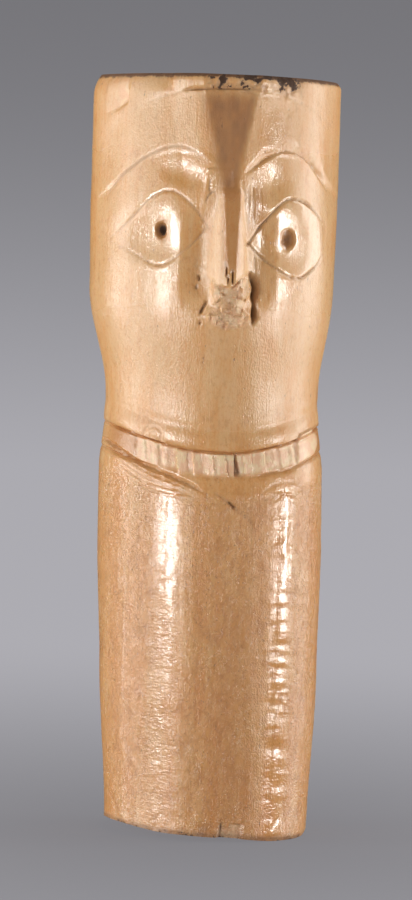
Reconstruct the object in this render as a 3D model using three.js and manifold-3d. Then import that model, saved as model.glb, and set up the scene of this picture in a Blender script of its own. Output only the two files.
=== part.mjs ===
// A doll-like figurine carved from one length of a long bone: head, neck and a plain body.
// Millimetres, +Z up. The face looks along -Y and the origin is under the middle of the base.

import * as THREE from "three";
import { mergeVertices } from "three/addons/utils/BufferGeometryUtils.js";
import Module from "manifold-3d";

// Driving sizes of the bone and of the main levels up the figure.
const HEIGHT = 100;
const HEAD_HALF_WIDTH = 16.45;
const NECK_HALF_WIDTH = 14.1;
const BODY_HALF_WIDTH = 14.8;
const BASE_HALF_WIDTH = 13.45;
const HEAD_DEPTH = 13.8;
const BODY_DEPTH = 13.0;
const BACK_DEPTH = 8.0;
const CROWN_LEVEL = 98.3;
const BRIDGE_LEVEL = 86.9;
const NECK_LEVEL = 51.1;
const COLLAR_LEVEL = 47.8;

// How round the section is: 2 is an ellipse, more is squarer and less is more like a keel.
// The front falls away evenly on the -X side, and turns a firmer corner on the +X side.
const LEFT_SQUARENESS = 1.75;
const RIGHT_HEAD_SQUARENESS = 1.95;
const RIGHT_BODY_SQUARENESS = 2.6;
const BACK_SQUARENESS = 3.0;

// The marrow canal runs through from crown to base.
const CANAL_HALF_WIDTH = 4.6;
const CANAL_HALF_DEPTH = 3.8;
const CANAL_CENTRE_Y = -1.5;

// The mesh of the bone: columns round the front and the back, and the step between rows.
const FRONT_COLUMNS = 34;
const BACK_COLUMNS = 16;
const HEAD_ROW_STEP = 1.3;
const BODY_ROW_STEP = 4.6;
const THINNEST = 0.004;
const WELD = 0.002;

// Face: the eyes' middles and half sizes, and the curves cut round them, as [x, z].
const EYES = [
  { x: -9.1, z: 79.6, halfWidth: 5.6, halfHeight: 4.6 },
  { x: 8.2, z: 78.9, halfWidth: 5.4, halfHeight: 4.8 },
];
const BROWS = [
  [[-15.7, 84.2], [-13.8, 87.0], [-10.6, 89.5], [-7.0, 90.5], [-3.2, 88.9]],
  [[1.9, 87.2], [5.2, 89.4], [8.2, 90.3], [11.3, 89.0], [14.2, 85.6]],
];
const UPPER_LIDS = [
  [[-15.4, 77.9], [-12.8, 80.9], [-10.2, 83.9], [-7.8, 84.7], [-5.2, 83.0], [-3.0, 80.1]],
  [[2.2, 77.9], [4.9, 81.3], [7.4, 83.8], [9.8, 84.0], [12.4, 81.6], [14.2, 77.9]],
];
const LOWER_LIDS = [
  [[-15.4, 78.7], [-12.4, 76.7], [-9.0, 75.1], [-5.9, 77.1], [-3.0, 80.6]],
  [[2.2, 78.5], [5.2, 75.9], [8.9, 73.9], [12.0, 76.0], [14.2, 79.4]],
];
const LID_CUT = { above: 0.5, below: 0.5, depth: 0.45 };
const BROW_CUT = { above: 1.1, below: 0.3, depth: 0.5 };
const HAIR_CUT = { above: 0.25, below: 0.9, depth: 0.4 };
const PUPIL_RADIUS = 0.85;
const PUPIL_DEPTH = 1.1;
const HAIRLINE_HALF_WIDTH = 17.2;
const HAIRLINE_DROP = 9;

// Nose: half widths of the ridge and of the foot, and how far it stands out, from bridge to tip.
const NOSE_SECTIONS = [
  { z: 87.6, ridge: 0.9, left: 1.7, right: 1.3, out: -0.1 },
  { z: 84.8, ridge: 0.8, left: 1.9, right: 1.5, out: 0.5 },
  { z: 79.0, ridge: 0.7, left: 2.6, right: 2.3, out: 1.2 },
  { z: 74.2, ridge: 0.65, left: 3.0, right: 2.7, out: 1.75 },
  { z: 72.6, ridge: 0.5, left: 2.2, right: 1.9, out: 1.2 },
];

// Mouth: what is left of the broken lips, two rough lobes with a waist between them.
const MOUTH_SECTIONS = [
  { z: 73.6, ridge: 1.2, left: 2.3, right: 2.2, out: 0.9 },
  { z: 72.0, ridge: 1.5, left: 2.5, right: 3.4, out: 1.1 },
  { z: 69.8, ridge: 0.8, left: 2.3, right: 2.3, out: 0.7 },
  { z: 68.6, ridge: 1.6, left: 3.3, right: 3.3, out: 0.9 },
  { z: 66.8, ridge: 0.4, left: 0.8, right: 0.9, out: 0.1 },
];
const MOUTH_RECESSES = [
  { path: [[3.1, 74.0], [3.9, 72.3], [3.3, 70.4], [3.6, 68.0]], half: 0.45, depth: 0.9 },
  { path: [[-2.9, 70.4], [-3.5, 69.2], [-3.7, 67.6]], half: 0.35, depth: 0.6 },
];

// Neck: one collar between two cuts, which sag towards the front like a necklace.
const NECK_SAG = 3.4;
const NECK_RINGS = [
  [57.2, 0], [55.6, 0.05], [54.7, 0.12], [53.9, -0.2], [52.6, 0.15], [51.6, 0.1], [51.1, -0.75],
  [50.7, -0.3], [49.2, -0.15], [48.3, -0.25], [47.8, -0.65], [47.2, 0], [45.4, 0.1],
];
const COLLAR_STEP = { left: 1.9, right: 2.9, depth: 0.55 };

// What is worn or broken: the chipped crown corner, the base chip, and the base's uneven cut as
// [x, rise] of its front and back edge.
const CROWN_BEVEL = 0.9;
const BASE_BEVEL = 0.35;
const CROWN_CHIP = { x: -14.1, halfWidth: 0.9, bottom: 93.6, depth: 0.45 };
const BASE_CHIP = { x: 2.6, halfWidth: 1.3, top: 2.6, depth: 0.5 };
const BASE_SLANT_FRONT = [[-13.4, 1.55], [-5.7, 0.8], [0.3, 0.6], [9, 0]];
const BASE_SLANT_BACK = [[-13.4, 1.2], [-8, 0]];
const BASE_SLANT_HEIGHT = 8;

// Smooth step from 0 at a to 1 at b.
function fade(a, b, value) {
  return THREE.MathUtils.smoothstep((value - a) / (b - a), 0, 1);
}

// A soft hump that is 1 in the middle and 0 at reach and beyond.
function hump(distance, reach) {
  const share = Math.min(Math.abs(distance) / reach, 1);
  return (1 - share * share) ** 2;
}

// A size that runs smoothly through named levels, without overshoot between them.
function throughLevels(levels, z) {
  let i = 1;
  while (i < levels.length - 1 && z > levels[i][0]) i += 1;
  const [z0, v0] = levels[i - 1];
  const [z1, v1] = levels[i];
  return THREE.MathUtils.lerp(v0, v1, fade(z0, z1, z));
}

// The bone's form up its length.
function halfWidth(z) {
  const levels = [
    [0, BASE_HALF_WIDTH],
    [22, BODY_HALF_WIDTH - 0.4],
    [38, BODY_HALF_WIDTH],
    [47, BODY_HALF_WIDTH],
    [58, NECK_HALF_WIDTH],
    [72.5, HEAD_HALF_WIDTH - 0.2],
    [84, HEAD_HALF_WIDTH],
    [HEIGHT, HEAD_HALF_WIDTH],
  ];
  return throughLevels(levels, z);
}

function frontDepth(z) {
  const levels = [
    [0, BODY_DEPTH - 1.3],
    [36, BODY_DEPTH],
    [54, BODY_DEPTH - 0.9],
    [70, HEAD_DEPTH],
    [84, HEAD_DEPTH],
    [HEIGHT, HEAD_DEPTH - 1.3],
  ];
  return throughLevels(levels, z);
}

function backDepth(z) {
  const levels = [
    [0, BACK_DEPTH - 0.6],
    [38, BACK_DEPTH],
    [54, BACK_DEPTH - 0.7],
    [72, BACK_DEPTH + 0.3],
    [HEIGHT, BACK_DEPTH],
  ];
  return throughLevels(levels, z);
}

// The bone isn't quite straight: its middle leans a little to the figure's right at the top.
function axisX(z) {
  return throughLevels([[0, 0.65], [58, -0.15], [72, -0.6], [HEIGHT, -0.55]], z);
}

// The hairline is an arch, highest over the nose.
function hairline(x) {
  const share = Math.min(Math.abs(x) / HAIRLINE_HALF_WIDTH, 1);
  return CROWN_LEVEL - HAIRLINE_DROP * (1 - Math.sqrt(1 - share * share));
}

// How far the carved skin stands out from the bone's plain form, in front.
function carving(x, z) {
  const face = fade(62, 68, z);
  const wedge = THREE.MathUtils.mapLinear(z, BRIDGE_LEVEL, CROWN_LEVEL, 1.2, 3.6);
  const beside = Math.abs(x + 0.2) - Math.max(wedge, 0.9);
  const band = 0.3 * fade(0, 0.9, z - hairline(x));
  const foreheadSides = -0.11 * Math.min(Math.max(beside, 0), 5) * fade(80, 90, z);
  const browLine = 90 - 0.075 * (Math.abs(x) - 7.4) ** 2;
  const under = browLine - z;
  const socket = -0.4 * fade(-0.6, 0.4, under) * (1 - fade(2, 8, under)) * fade(1.6, 3, Math.abs(x));
  const besideNose = -0.35 * hump(Math.abs(x) - 3.6, 2.4) * fade(68, 74, z) * (1 - fade(82, 86, z));
  let eyes = 0;
  for (const eye of EYES) {
    const out = Math.hypot((x - eye.x) / eye.halfWidth, (z - eye.z) / eye.halfHeight);
    eyes += 0.35 * hump(out, 1.15);
  }
  return band + (foreheadSides + socket + besideNose + eyes) * face;
}

// The groove that a long bone has down its front, deepest low on the body.
function sulcus(x, z) {
  return -0.35 * hump(x + 0.2, 4.5) * (1 - fade(30, 46, z)) * fade(-4, 6, z);
}

// The rings of the neck: cut deep in front, and only marked on the back.
function neckRings(level, front) {
  const first = NECK_RINGS[NECK_RINGS.length - 1][0];
  if (level > NECK_RINGS[0][0] || level < first) return 0;
  const levels = [...NECK_RINGS].reverse();
  let i = 1;
  while (i < levels.length - 1 && level > levels[i][0]) i += 1;
  const [z0, v0] = levels[i - 1];
  const [z1, v1] = levels[i];
  return THREE.MathUtils.mapLinear(level, z0, z1, v0, v1) * (0.4 + 0.6 * front);
}

// Worn edges at both ends, and the chips broken out of them.
function wear(x, z, front) {
  const crownRun = (HEIGHT - z) / (x < -8 ? 2.6 : 1.2);
  const crown = -CROWN_BEVEL * Math.max(1 - crownRun, 0) ** 2;
  const base = -BASE_BEVEL * Math.max(1 - z / 0.6, 0);
  const crownChip = -CROWN_CHIP.depth * front
    * fade(CROWN_CHIP.halfWidth + 0.3, CROWN_CHIP.halfWidth, Math.abs(x - CROWN_CHIP.x))
    * fade(CROWN_CHIP.bottom, CROWN_CHIP.bottom + 1, z);
  const baseChip = -BASE_CHIP.depth * front
    * fade(BASE_CHIP.halfWidth + 0.5, BASE_CHIP.halfWidth, Math.abs(x - BASE_CHIP.x))
    * fade(BASE_CHIP.top, BASE_CHIP.top - 1, z);
  return crown + base + crownChip + baseChip;
}

// How square the section is in a given direction.
function squareness(cosine, sine, z) {
  if (sine > 0) return BACK_SQUARENESS;
  if (cosine < 0) return LEFT_SQUARENESS;
  return throughLevels([[44, RIGHT_BODY_SQUARENESS], [62, RIGHT_HEAD_SQUARENESS]], z);
}

// How far the plain form lies from the bone's middle, in a given direction.
function reach(cosine, sine, z) {
  const power = squareness(cosine, sine, z);
  const depth = sine < 0 ? frontDepth(z) : backDepth(z);
  const spread = Math.abs(cosine / halfWidth(z)) ** power + Math.abs(sine / depth) ** power;
  return spread ** (-1 / power);
}

// The saw cut of the base slants: its edge rises in front, and more towards the -X side.
function slantRise(x, sine, level) {
  const below = Math.max(1 - level / BASE_SLANT_HEIGHT, 0);
  const back = throughLevels(BASE_SLANT_BACK, x);
  return below * THREE.MathUtils.lerp(back, throughLevels(BASE_SLANT_FRONT, x), fade(-0.2, 0.05, -sine));
}

// The point of the skin at an angle round the bone and a level up it.
// At the neck the levels sag in front, so rows of points follow the collar.
function skinPoint(angle, level) {
  const cosine = Math.cos(angle);
  const sine = Math.sin(angle);
  const side = reach(cosine, sine, level) * cosine / halfWidth(level);
  const lift = sine < 0 ? side ** 2 : 1;
  const sagging = fade(34, 45, level) * (1 - fade(56, 68, level));
  const z = level + NECK_SAG * lift * sagging + slantRise(side * halfWidth(level), sine, level);
  const radius = reach(cosine, sine, z);
  const x = axisX(z) + radius * cosine;
  const front = fade(0, 0.35, -sine);
  const out = front * (carving(x, z) + sulcus(x, z)) + neckRings(level, front) + wear(x, z, front);
  return new THREE.Vector3(
    axisX(z) + (radius + out) * cosine,
    (radius + out) * sine,
    z,
  );
}

// The skin of the face over a given x and height, found by halving the angle between the sides.
function facePoint(x, z) {
  let low = Math.PI;
  let high = 2 * Math.PI;
  for (let i = 0; i < 24; i += 1) {
    const middle = (low + high) / 2;
    if (skinPoint(middle, z).x < x) low = middle;
    else high = middle;
  }
  return skinPoint((low + high) / 2, z);
}

// Which way the skin faces at that place.
function faceNormal(x, z) {
  const step = 0.4;
  const across = facePoint(x + step, z).sub(facePoint(x - step, z));
  const up = facePoint(x, z + step).sub(facePoint(x, z - step));
  return across.cross(up).normalize();
}

// A closed body from rings of points: each ring joined to the next, and the ends filled or closed.
function bodyFromRings(rings, closed) {
  const count = rings[0].length;
  const positions = rings.flat().flatMap((point) => point.toArray());
  const index = [];
  const last = closed ? rings.length : rings.length - 1;
  for (let r = 0; r < last; r += 1) {
    const here = r * count;
    const next = ((r + 1) % rings.length) * count;
    for (let c = 0; c < count; c += 1) {
      const d = (c + 1) % count;
      index.push(here + c, here + d, next + d, here + c, next + d, next + c);
    }
  }
  if (!closed) {
    const end = (rings.length - 1) * count;
    for (let c = 1; c < count - 1; c += 1) {
      index.push(0, c + 1, c, end, end + c, end + c + 1);
    }
  }
  const geometry = new THREE.BufferGeometry();
  geometry.setAttribute("position", new THREE.Float32BufferAttribute(positions, 3));
  geometry.setIndex(index);
  return geometry;
}

// The levels of the rows, from base to crown.
function rowLevels() {
  const levels = [0, 0.6];
  const bodyTop = 44;
  const bodyRows = Math.round(bodyTop / BODY_ROW_STEP);
  for (let i = 1; i <= bodyRows; i += 1) levels.push(0.6 + (bodyTop - 0.6) * (i / bodyRows));
  for (const [level] of [...NECK_RINGS].reverse()) levels.push(level);
  const headBottom = 58.4;
  const headTop = 97.6;
  const headRows = Math.round((headTop - headBottom) / HEAD_ROW_STEP);
  for (let i = 0; i <= headRows; i += 1) {
    levels.push(headBottom + (headTop - headBottom) * (i / headRows));
  }
  levels.push(98.5, 99.3, HEIGHT);
  return levels;
}

// The bone with its broad carved forms: the skin, then the canal's wall, as one closed sleeve.
function boneBlank() {
  const angles = [];
  for (let i = 0; i < FRONT_COLUMNS; i += 1) angles.push(Math.PI * (1 + i / FRONT_COLUMNS));
  for (let i = 0; i < BACK_COLUMNS; i += 1) angles.push(Math.PI * (i / BACK_COLUMNS));
  const rings = rowLevels().map((level) => angles.map((angle) => skinPoint(angle, level)));
  const canalRing = (z) => angles.map((angle) => new THREE.Vector3(
    axisX(z) + CANAL_HALF_WIDTH * Math.cos(angle),
    CANAL_CENTRE_Y + CANAL_HALF_DEPTH * Math.sin(angle),
    z,
  ));
  rings.push(canalRing(HEIGHT), canalRing(0));
  return bodyFromRings(rings, true);
}

// A blade that follows a curve on the face and leaves a groove with one steep and one slow side.
function grooveBlade(points, cut, segments) {
  const curve = new THREE.CatmullRomCurve3(points.map(([x, z]) => new THREE.Vector3(x, 0, z)));
  const rings = [];
  for (let i = 0; i <= segments; i += 1) {
    const t = i / segments;
    const taper = Math.min(1, 0.25 + 4 * Math.min(t, 1 - t));
    const at = curve.getPoint(t);
    const skin = facePoint(at.x, at.z);
    const normal = faceNormal(at.x, at.z);
    const along = curve.getTangent(t);
    const tangent = facePoint(at.x + along.x * 0.3, at.z + along.z * 0.3).sub(skin).normalize();
    const aside = new THREE.Vector3().crossVectors(normal, tangent).normalize();
    const over = 0.35;
    const spread = 1 + over / cut.depth;
    const bottom = skin.clone().addScaledVector(normal, -cut.depth * taper);
    const top = skin.clone().addScaledVector(normal, over);
    const above = top.clone().addScaledVector(aside, cut.above * taper * spread);
    const below = top.clone().addScaledVector(aside, -cut.below * taper * spread);
    rings.push([bottom, above, below]);
  }
  return bodyFromRings(rings, false);
}

// A ridge on the face, such as the nose: a flat top, sloping sides and a foot inside the bone.
function ridge(sections) {
  const root = 1.5;
  const rings = sections.map(({ z, ridge: top, left, right, out }) => {
    const middle = facePoint(0, z).y;
    const foot = (x) => new THREE.Vector3(x, facePoint(x, z).y + root, z);
    const edge = (x) => new THREE.Vector3(x, facePoint(x, z).y + 0.1, z);
    return [
      foot(-left),
      edge(-left),
      new THREE.Vector3(-top, middle - out, z),
      new THREE.Vector3(top, middle - out, z),
      edge(right),
      foot(right),
    ];
  });
  return bodyFromRings(rings.reverse(), false);
}

// The drilled pupil of one eye.
function pupilDrill(eye) {
  const drill = new THREE.CylinderGeometry(PUPIL_RADIUS, PUPIL_RADIUS * 0.6, 2 * PUPIL_DEPTH, 10);
  const normal = faceNormal(eye.x, eye.z);
  drill.applyQuaternion(new THREE.Quaternion().setFromUnitVectors(new THREE.Vector3(0, 1, 0), normal));
  const at = facePoint(eye.x, eye.z);
  drill.translate(at.x, at.y, at.z);
  return drill;
}

// The square step broken out of the collar, a little to the right of the middle.
function collarStep() {
  const width = COLLAR_STEP.right - COLLAR_STEP.left;
  const height = NECK_LEVEL - COLLAR_LEVEL - 0.5;
  const at = facePoint((COLLAR_STEP.left + COLLAR_STEP.right) / 2, (NECK_LEVEL + COLLAR_LEVEL) / 2);
  const step = new THREE.BoxGeometry(width, 2 * COLLAR_STEP.depth, height);
  step.translate(at.x, at.y, at.z);
  return step;
}

const wasm = await Module();
wasm.setup();

// A closed three.js geometry as a solid that can be joined and cut.
function solid(geometry) {
  const plain = geometry.clone();
  plain.deleteAttribute("normal");
  plain.deleteAttribute("uv");
  const merged = mergeVertices(plain, 1e-5);
  return new wasm.Manifold(new wasm.Mesh({
    numProp: 3,
    vertProperties: Float32Array.from(merged.attributes.position.array),
    triVerts: Uint32Array.from(merged.index.array),
  }));
}

// Thin triangles that the cuts leave: the first one whose height is below the limit.
function thinFace(faces, points, skipped) {
  for (const face of faces) {
    const edges = face.map((start, k) => {
      const end = face[(k + 1) % 3];
      return { start, end, apex: face[(k + 2) % 3], length: points[start].distanceTo(points[end]) };
    });
    edges.sort((a, b) => a.length - b.length);
    const [a, b, c] = face.map((i) => points[i]);
    const doubleArea = b.clone().sub(a).cross(c.clone().sub(a)).length();
    const thin = doubleArea < THINNEST * edges[2].length || edges[0].length < THINNEST;
    if (thin && !skipped.has(face.join())) return { face, shortest: edges[0], longest: edges[2] };
  }
  return null;
}

// Clears the thin triangles: a short edge is drawn together, and a long one is turned.
function withoutThinFaces(points, faces) {
  const isWhole = ([a, b, c]) => a !== b && b !== c && c !== a;
  let kept = faces.filter(isWhole);
  const skipped = new Set();
  for (;;) {
    const thin = thinFace(kept, points, skipped);
    if (!thin) return kept;
    const { shortest, longest } = thin;
    if (shortest.length < 4 * THINNEST) {
      kept = kept.map((face) => face.map((i) => (i === shortest.end ? shortest.start : i)));
      kept = kept.filter(isWhole);
    } else {
      const { start, end, apex } = longest;
      const beside = kept.find((face) => [0, 1, 2].some((k) => (
        face[k] === end && face[(k + 1) % 3] === start
      )));
      const far = beside.find((i) => i !== start && i !== end);
      const isTaken = kept.some((face) => face.includes(apex) && face.includes(far));
      if (isTaken) {
        skipped.add(thin.face.join());
      } else {
        kept = kept.filter((face) => face !== thin.face && face !== beside);
        kept.push([apex, start, far], [apex, far, end]);
      }
    }
  }
}

function geometryOf(body) {
  const { vertProperties, triVerts } = body.getMesh();
  const cut = new THREE.BufferGeometry();
  cut.setAttribute("position", new THREE.BufferAttribute(vertProperties, 3));
  cut.setIndex(new THREE.BufferAttribute(triVerts, 1));
  const geometry = mergeVertices(cut, WELD);
  const position = geometry.attributes.position;
  const points = [];
  for (let i = 0; i < position.count; i += 1) {
    points.push(new THREE.Vector3().fromBufferAttribute(position, i));
  }
  const faces = [];
  for (let i = 0; i < geometry.index.count; i += 3) {
    faces.push([...geometry.index.array.slice(i, i + 3)]);
  }
  geometry.setIndex(withoutThinFaces(points, faces).flat());
  geometry.computeVertexNormals();
  return geometry;
}

// Joins what stands proud of the face, then makes every cut.
function carvedFigure() {
  const hairPoints = [-16, -14, -10.5, -6, 0, 6, 10.5, 14, 16].map((x) => [x, hairline(x)]);
  const cuts = [
    grooveBlade(hairPoints, HAIR_CUT, 24),
    ...BROWS.map((points) => grooveBlade(points, BROW_CUT, 10)),
    ...UPPER_LIDS.map((points) => grooveBlade(points, LID_CUT, 12)),
    ...LOWER_LIDS.map((points) => grooveBlade(points, LID_CUT, 11)),
    ...MOUTH_RECESSES.map(({ path, half, depth }) => (
      grooveBlade(path, { above: half, below: half, depth }, 5)
    )),
    ...EYES.map(pupilDrill),
    collarStep(),
  ];
  let body = solid(boneBlank());
  for (const sections of [NOSE_SECTIONS, MOUTH_SECTIONS]) body = body.add(solid(ridge(sections)));
  for (const cut of cuts) body = body.subtract(solid(cut));
  return geometryOf(body);
}

const bone = new THREE.MeshStandardMaterial({ color: 0xe0b98a, roughness: 0.32, metalness: 0 });
const figurine = new THREE.Mesh(carvedFigure(), bone);
figurine.name = "bone_figurine";

// The nose stands out in front, so the figurine moves until its box is centred over the origin.
const middle = new THREE.Box3().setFromObject(figurine).getCenter(new THREE.Vector3());
figurine.position.set(-middle.x, -middle.y, 0);

const group = new THREE.Group();
group.add(figurine);

export default group;
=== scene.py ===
import math

import bpy
import numpy as np
from mathutils import Matrix, Vector


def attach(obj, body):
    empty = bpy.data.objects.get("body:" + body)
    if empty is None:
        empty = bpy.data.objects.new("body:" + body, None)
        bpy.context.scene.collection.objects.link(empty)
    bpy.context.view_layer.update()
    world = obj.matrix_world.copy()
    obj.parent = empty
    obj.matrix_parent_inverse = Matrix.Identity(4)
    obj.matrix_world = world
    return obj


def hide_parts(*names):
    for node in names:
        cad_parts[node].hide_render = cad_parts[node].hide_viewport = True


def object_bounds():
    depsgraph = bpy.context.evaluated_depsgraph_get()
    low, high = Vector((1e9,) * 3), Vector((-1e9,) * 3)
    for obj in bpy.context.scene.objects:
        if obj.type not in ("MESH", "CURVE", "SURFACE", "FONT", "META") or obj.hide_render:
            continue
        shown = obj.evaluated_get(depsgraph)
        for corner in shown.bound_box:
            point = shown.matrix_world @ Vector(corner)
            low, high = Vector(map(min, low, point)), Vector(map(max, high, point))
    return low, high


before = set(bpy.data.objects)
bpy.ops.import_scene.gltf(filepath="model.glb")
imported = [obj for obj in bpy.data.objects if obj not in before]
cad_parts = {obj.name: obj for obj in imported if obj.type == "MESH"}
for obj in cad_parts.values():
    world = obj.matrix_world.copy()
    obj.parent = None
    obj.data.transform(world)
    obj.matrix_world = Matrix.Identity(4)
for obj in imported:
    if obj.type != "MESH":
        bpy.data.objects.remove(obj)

cad_low, cad_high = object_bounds()

# The bone: one length of a long bone, sawn off at both ends, flattened behind and rounded in front.
# It was scraped to shape with a blade along its length and then polished by long handling.
# Everything here is worked out in millimetres, from the base up; the mesh is made metres at the end.
MILLIMETRE = 0.001
HEIGHT = (cad_high.z - cad_low.z) / MILLIMETRE
HEAD_HALF_WIDTH = 16.45
NECK_HALF_WIDTH = 14.1
BODY_HALF_WIDTH = 14.8
BASE_HALF_WIDTH = 13.45
HEAD_DEPTH = 13.8
BODY_DEPTH = 13.0
BACK_DEPTH = 8.0
LEFT_SQUARENESS = 1.75
RIGHT_HEAD_SQUARENESS = 1.95
RIGHT_BODY_SQUARENESS = 2.6
BACK_SQUARENESS = 3.0
NECK_SAG = 3.4


def fade(a, b, value):
    """Smooth step from 0 at a to 1 at b."""
    share = np.clip((value - a) / (b - a), 0, 1)
    return share * share * (3 - 2 * share)


def hump(distance, reach):
    """A soft hump that is 1 in the middle and 0 at reach and beyond."""
    share = np.minimum(np.abs(distance) / reach, 1)
    return (1 - share * share) ** 2


def through_levels(levels, place):
    """A size that runs smoothly through named levels, without overshoot between them."""
    at, size = np.array(levels, float).T
    i = np.clip(np.searchsorted(at, place), 1, len(at) - 1)
    return size[i - 1] + (size[i] - size[i - 1]) * fade(at[i - 1], at[i], place)


def half_width(z):
    return through_levels([
        (0, BASE_HALF_WIDTH),
        (22, BODY_HALF_WIDTH - 0.4),
        (38, BODY_HALF_WIDTH),
        (47, BODY_HALF_WIDTH),
        (58, NECK_HALF_WIDTH),
        (72.5, HEAD_HALF_WIDTH - 0.2),
        (84, HEAD_HALF_WIDTH),
        (HEIGHT, HEAD_HALF_WIDTH),
    ], z)


def front_depth(z):
    return through_levels([
        (0, BODY_DEPTH - 1.3),
        (36, BODY_DEPTH),
        (54, BODY_DEPTH - 0.9),
        (70, HEAD_DEPTH),
        (84, HEAD_DEPTH),
        (HEIGHT, HEAD_DEPTH - 1.3),
    ], z)


def back_depth(z):
    return through_levels([
        (0, BACK_DEPTH - 0.6),
        (38, BACK_DEPTH),
        (54, BACK_DEPTH - 0.7),
        (72, BACK_DEPTH + 0.3),
        (HEIGHT, BACK_DEPTH),
    ], z)


def axis_x(z):
    """The bone isn't quite straight: its middle leans a little at the top."""
    return through_levels([(0, 0.65), (58, -0.15), (72, -0.6), (HEIGHT, -0.55)], z)


def front_squareness(side, z):
    """The left of the front falls away evenly, and the right turns a firmer corner."""
    right = through_levels([(44, RIGHT_BODY_SQUARENESS), (62, RIGHT_HEAD_SQUARENESS)], z)
    return np.where(side < 0, LEFT_SQUARENESS, right)


def bone_radius(cosine, sine, z):
    """How far the plain form lies from the bone's middle, in a given direction."""
    power = np.where(sine > 0, BACK_SQUARENESS, front_squareness(cosine, z))
    depth = np.where(sine < 0, front_depth(z), back_depth(z))
    spread = np.abs(cosine / half_width(z)) ** power + np.abs(sine / depth) ** power
    return spread ** (-1 / power)


def front_skin(x, z):
    """The plain skin of the front over a place across and up."""
    side = x - axis_x(z)
    power = front_squareness(side, z)
    share = np.minimum(np.abs(side) / half_width(z), 1)
    y = -front_depth(z) * (1 - share ** power) ** (1 / power)
    return np.stack([x + 0 * y, y, z + 0 * y], -1)


def bone_noise(points, cell, seed):
    """Smooth noise from -1 to 1 over points; cell is the size of its grain across, deep and up."""
    grid = np.asarray(points, float) / np.asarray(cell, float)
    corner = np.floor(grid).astype(np.int64)
    share = grid - corner
    share = share * share * (3 - 2 * share)
    total = np.zeros(len(grid))
    for step in np.ndindex(2, 2, 2):
        key = (corner + step) @ np.array([73856093, 19349663, 83492791]) + seed * 2654435761
        key = (key ^ (key >> 13)) & 0xFFFFFFFF
        key = (key * 1274126177) & 0xFFFFFFFF
        key = (key ^ (key >> 16)) & 0xFFFFFF
        weight = np.prod(np.where(np.array(step) == 1, share, 1 - share), axis=1)
        total += weight * (key / 0x7FFFFF - 1)
    return total


def chipped_facets(across, up, cell, seed):
    """The flat-sided facets of broken bone: each cell of a jittered grid is one tilted plane."""
    best = np.full(len(across), np.inf)
    facet = np.zeros(len(across))
    column = np.floor(across / cell)
    row = np.floor(up / cell)
    for i, j in np.ndindex(3, 3):
        key = np.stack([column + i - 1, row + j - 1, np.zeros_like(row)], -1)
        jitter = [bone_noise(key + 0.001, 1, seed + k) for k in range(5)]
        to_x = across / cell - (key[:, 0] + 0.5 + 0.45 * jitter[0])
        to_z = up / cell - (key[:, 1] + 0.5 + 0.45 * jitter[1])
        distance = to_x ** 2 + to_z ** 2
        plane = 0.6 * jitter[2] + jitter[3] * to_x + jitter[4] * to_z
        facet = np.where(distance < best, plane, facet)
        best = np.minimum(distance, best)
    return facet


# How finely the bone is meshed: rows of faces from the base to the crown, denser where it is carved.
ROW_STRETCHES = [
    (0, 3, 8), (3, 44, 94), (44, 57, 72), (57, 64, 22), (64, 92, 126), (92, 97, 17), (97, HEIGHT, 20),
]
CROWN_ROWS = 9
CANAL_ROWS = 7
BASE_ROWS = 5
FRONT_COLUMNS = 216
BACK_COLUMNS = 46
CANAL_HALF_WIDTH = 4.6
CANAL_HALF_DEPTH = 3.8
CANAL_CENTRE_Y = -1.5

levels = np.concatenate([
    np.linspace(low, high, rows, endpoint=False) for low, high, rows in ROW_STRETCHES
] + [[HEIGHT]])
skin_rows = len(levels)
rows = skin_rows - 1 + CROWN_ROWS + CANAL_ROWS + BASE_ROWS
columns = FRONT_COLUMNS + BACK_COLUMNS
half_back = BACK_COLUMNS // 2
angles = np.concatenate([
    np.linspace(0.5 * math.pi, math.pi, half_back, endpoint=False),
    np.linspace(math.pi, 2 * math.pi, FRONT_COLUMNS, endpoint=False),
    np.linspace(2 * math.pi, 2.5 * math.pi, half_back, endpoint=False),
])

BASE_SLANT_FRONT = [(-13.4, 1.55), (-5.7, 0.8), (0.3, 0.6), (9, 0)]
BASE_SLANT_BACK = [(-13.4, 1.2), (-8, 0)]
BASE_SLANT_HEIGHT = 8

level, angle = [a.ravel() for a in np.meshgrid(levels, angles, indexing="ij")]
cosine, sine = np.cos(angle), np.sin(angle)
side = bone_radius(cosine, sine, level) * cosine
lift = np.where(sine < 0, (side / half_width(level)) ** 2, 1)
sagging = fade(34, 45, level) * (1 - fade(56, 68, level))
slant_share = fade(-0.2, 0.05, -sine)
slant = through_levels(BASE_SLANT_FRONT, side) * slant_share
slant += through_levels(BASE_SLANT_BACK, side) * (1 - slant_share)
z = level + NECK_SAG * lift * sagging + slant * np.maximum(1 - level / BASE_SLANT_HEIGHT, 0)
radius = bone_radius(cosine, sine, z)
x = axis_x(z) + radius * cosine
y = radius * sine
skin = np.stack([x, y, z], -1)
front = fade(0, 0.35, -sine)
in_front = front > 0
around = np.where(sine < 0, x, np.sign(x + 0.001) * (2 * half_width(z) - np.abs(x)))

# What the surface is made to do, in millimetres outwards, and what colours and dulls it, from 0 to 1.
relief = np.zeros(len(z))
grime_and_painted_shade = np.zeros(len(z))
fresh = np.zeros(len(z))
char = np.zeros(len(z))
stain_and_painted_shade = np.zeros(len(z))
rough = np.full(len(z), 0.3)
ribbed = np.zeros(len(z))
gloss = np.full(len(z), 0.5)


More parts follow.
